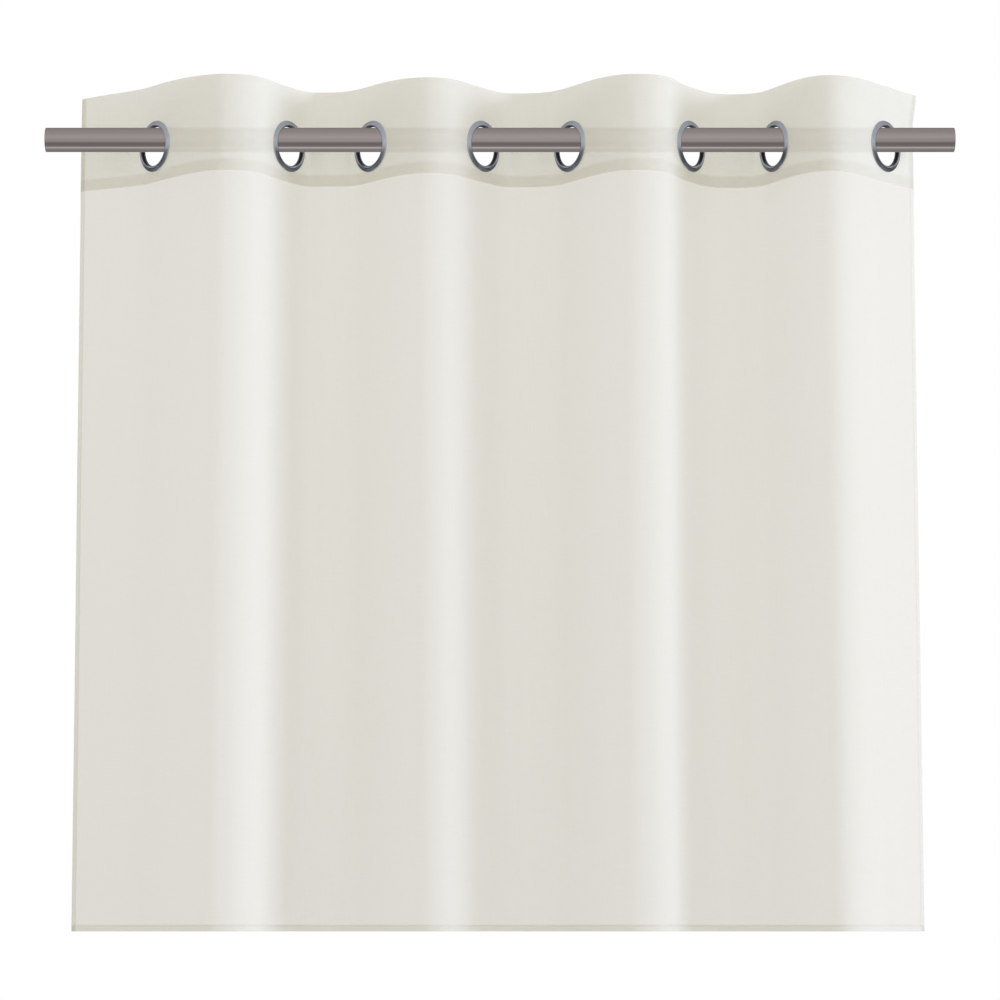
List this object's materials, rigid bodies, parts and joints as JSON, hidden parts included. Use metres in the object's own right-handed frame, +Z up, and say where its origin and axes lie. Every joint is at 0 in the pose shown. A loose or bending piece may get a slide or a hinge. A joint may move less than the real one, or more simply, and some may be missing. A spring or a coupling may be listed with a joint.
{
  "type": "sheer voile eyelet curtain on a rod",
  "caption": "Short sheer voile curtain with a turned-over heading and clamped metal eyelets, hanging in soft uneven folds on a plain round rod",
  "frame": {"origin": "on the rod's axis, halfway along the rod", "axes": "+X runs along the rod to the right as the viewer sees it, -Y faces the viewer, +Z is up"},
  "size_m": [1.046, 0.1294, 0.9664],
  "materials": {
    "voile": "matt sheer",
    "voile_turned_over": "matt, two layers",
    "taupe_metal": "satin",
    "grey_chrome": "polished"
  },
  "bodies": {
    "root": {"rod": "taupe_metal", "heading": "voile_turned_over", "panel": "voile", "eyelet_1": "grey_chrome", "eyelet_2": "grey_chrome", "eyelet_3": "grey_chrome", "eyelet_4": "grey_chrome", "eyelet_5": "grey_chrome", "eyelet_6": "grey_chrome", "eyelet_7": "grey_chrome", "eyelet_8": "grey_chrome"}
  },
  "joints": []
}
